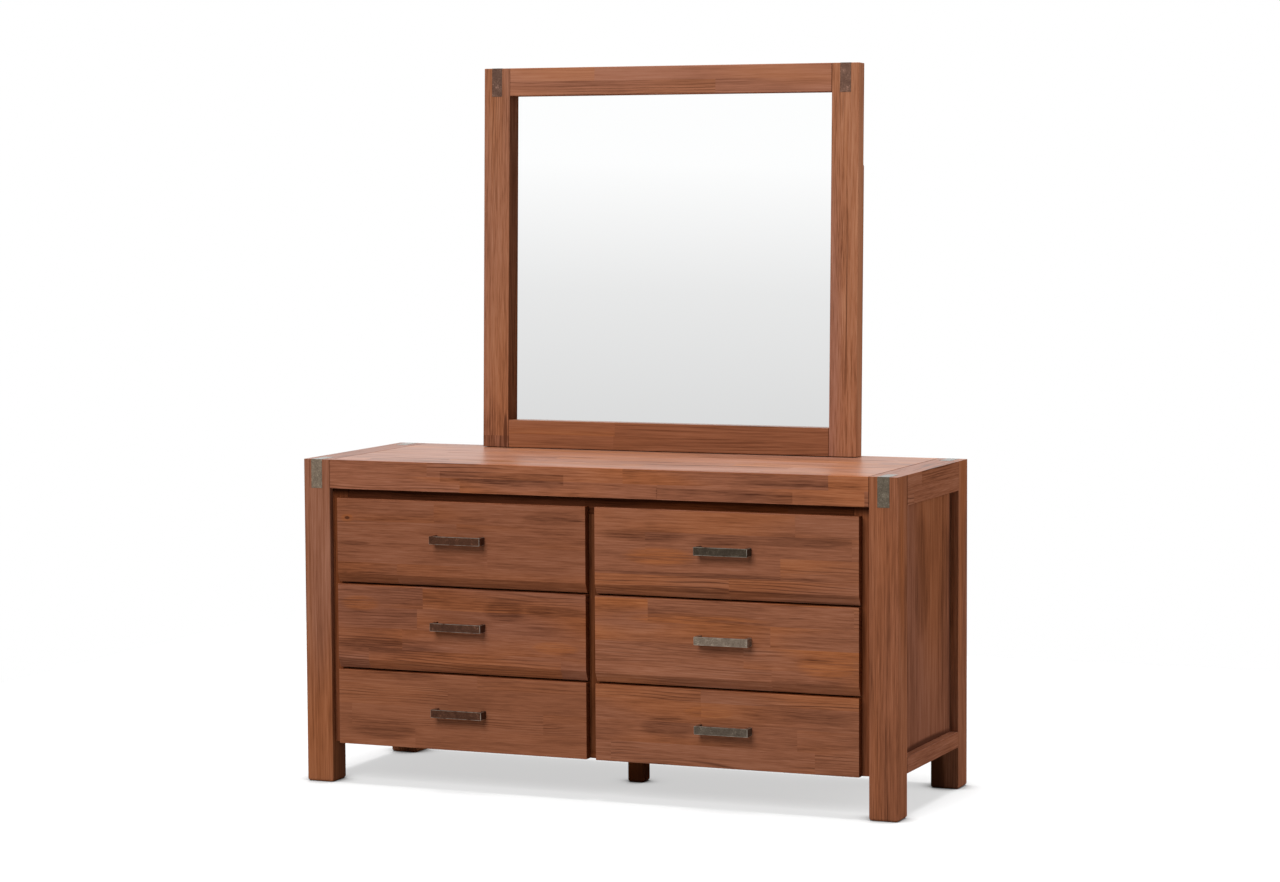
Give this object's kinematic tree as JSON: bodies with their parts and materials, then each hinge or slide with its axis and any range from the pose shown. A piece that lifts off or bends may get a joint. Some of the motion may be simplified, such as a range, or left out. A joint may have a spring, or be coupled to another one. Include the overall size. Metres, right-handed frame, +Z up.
{
  "type": "dresser with mirror",
  "caption": "Low wooden dresser with two columns of drawers on side runners, bar pulls and metal corner straps, carrying a tall framed mirror on two rear supports.",
  "frame": {"origin": "on the floor, under the middle of the whole object's footprint", "axes": "+Z up, +X to the right seen from the front, the drawer fronts face -Y"},
  "size_m": [1.55, 0.6082, 1.775],
  "materials": {
    "case_wood": "red-brown stained hardwood, straight fine grain, satin lacquer",
    "top_wood": "red-brown stained hardwood staves, satin lacquer, glossier on the top",
    "mirror_wood": "lighter red-brown stained hardwood, satin lacquer",
    "drawer_wood": "pale unstained hardwood, sanded",
    "inner_wood": "plain sawn softwood, sanded",
    "back_board": "thin brown fibreboard, dull",
    "pull_metal": "antique pewter, worn bright on the edges",
    "strap_metal": "antique pewter, mottled grey-green",
    "mirror_strap_metal": "antique pewter, dark brown-grey",
    "runner_steel": "bright zinc",
    "screw_steel": "zinc-plated screw",
    "mirror_glass": "silvered float glass",
    "bumper": "soft grey pad"
  },
  "bodies": {
    "root": {"back_board": "back_board", "case_runners": "runner_steel", "centre_bearer": "inner_wood", "centre_foot": "case_wood", "centre_partition": "inner_wood", "corner_straps": "strap_metal", "drawer_bumpers": "bumper", "end_beam_left": "case_wood", "end_beam_right": "case_wood", "face_bottom_rail": "case_wood", "face_mullion": "case_wood", "face_stile_left": "case_wood", "face_stile_right": "case_wood", "face_top_rail": "case_wood", "front_fascia": "case_wood", "leg_front_left": "case_wood", "leg_front_right": "case_wood", "leg_rear_left": "case_wood", "leg_rear_right": "case_wood", "mirror_back_board": "back_board", "mirror_bottom_rail": "mirror_wood", "mirror_glass": "mirror_glass", "mirror_stile_left": "mirror_wood", "mirror_stile_right": "mirror_wood", "mirror_straps": "mirror_strap_metal", "mirror_support_left": "mirror_wood", "mirror_support_right": "mirror_wood", "mirror_top_rail": "mirror_wood", "rear_rails": "inner_wood", "runner_bearers": "inner_wood", "side_panel_left": "case_wood", "side_panel_right": "case_wood", "side_rail_left": "case_wood", "side_rail_right": "case_wood", "support_screws": "screw_steel", "top_panel": "top_wood"},
    "drawer_left_top": {"drawer_left_top_box": "drawer_wood", "drawer_left_top_front": "case_wood", "drawer_left_top_pull": "pull_metal", "drawer_left_top_runners": "runner_steel"},
    "drawer_left_middle": {"drawer_left_middle_box": "drawer_wood", "drawer_left_middle_front": "case_wood", "drawer_left_middle_pull": "pull_metal", "drawer_left_middle_runners": "runner_steel"},
    "drawer_left_bottom": {"drawer_left_bottom_box": "drawer_wood", "drawer_left_bottom_front": "case_wood", "drawer_left_bottom_pull": "pull_metal", "drawer_left_bottom_runners": "runner_steel"},
    "drawer_right_top": {"drawer_right_top_box": "drawer_wood", "drawer_right_top_front": "case_wood", "drawer_right_top_pull": "pull_metal", "drawer_right_top_runners": "runner_steel"},
    "drawer_right_middle": {"drawer_right_middle_box": "drawer_wood", "drawer_right_middle_front": "case_wood", "drawer_right_middle_pull": "pull_metal", "drawer_right_middle_runners": "runner_steel"},
    "drawer_right_bottom": {"drawer_right_bottom_box": "drawer_wood", "drawer_right_bottom_front": "case_wood", "drawer_right_bottom_pull": "pull_metal", "drawer_right_bottom_runners": "runner_steel"}
  },
  "joints": [
    {"name": "drawer_left_top_slide", "type": "slide", "parent": "root", "child": "drawer_left_top", "axis": [0, -1, 0], "range_m": [0, 0.33]},
    {"name": "drawer_left_middle_slide", "type": "slide", "parent": "root", "child": "drawer_left_middle", "axis": [0, -1, 0], "range_m": [0, 0.33]},
    {"name": "drawer_left_bottom_slide", "type": "slide", "parent": "root", "child": "drawer_left_bottom", "axis": [0, -1, 0], "range_m": [0, 0.33]},
    {"name": "drawer_right_top_slide", "type": "slide", "parent": "root", "child": "drawer_right_top", "axis": [0, -1, 0], "range_m": [0, 0.33]},
    {"name": "drawer_right_middle_slide", "type": "slide", "parent": "root", "child": "drawer_right_middle", "axis": [0, -1, 0], "range_m": [0, 0.33]},
    {"name": "drawer_right_bottom_slide", "type": "slide", "parent": "root", "child": "drawer_right_bottom", "axis": [0, -1, 0], "range_m": [0, 0.33]}
  ]
}
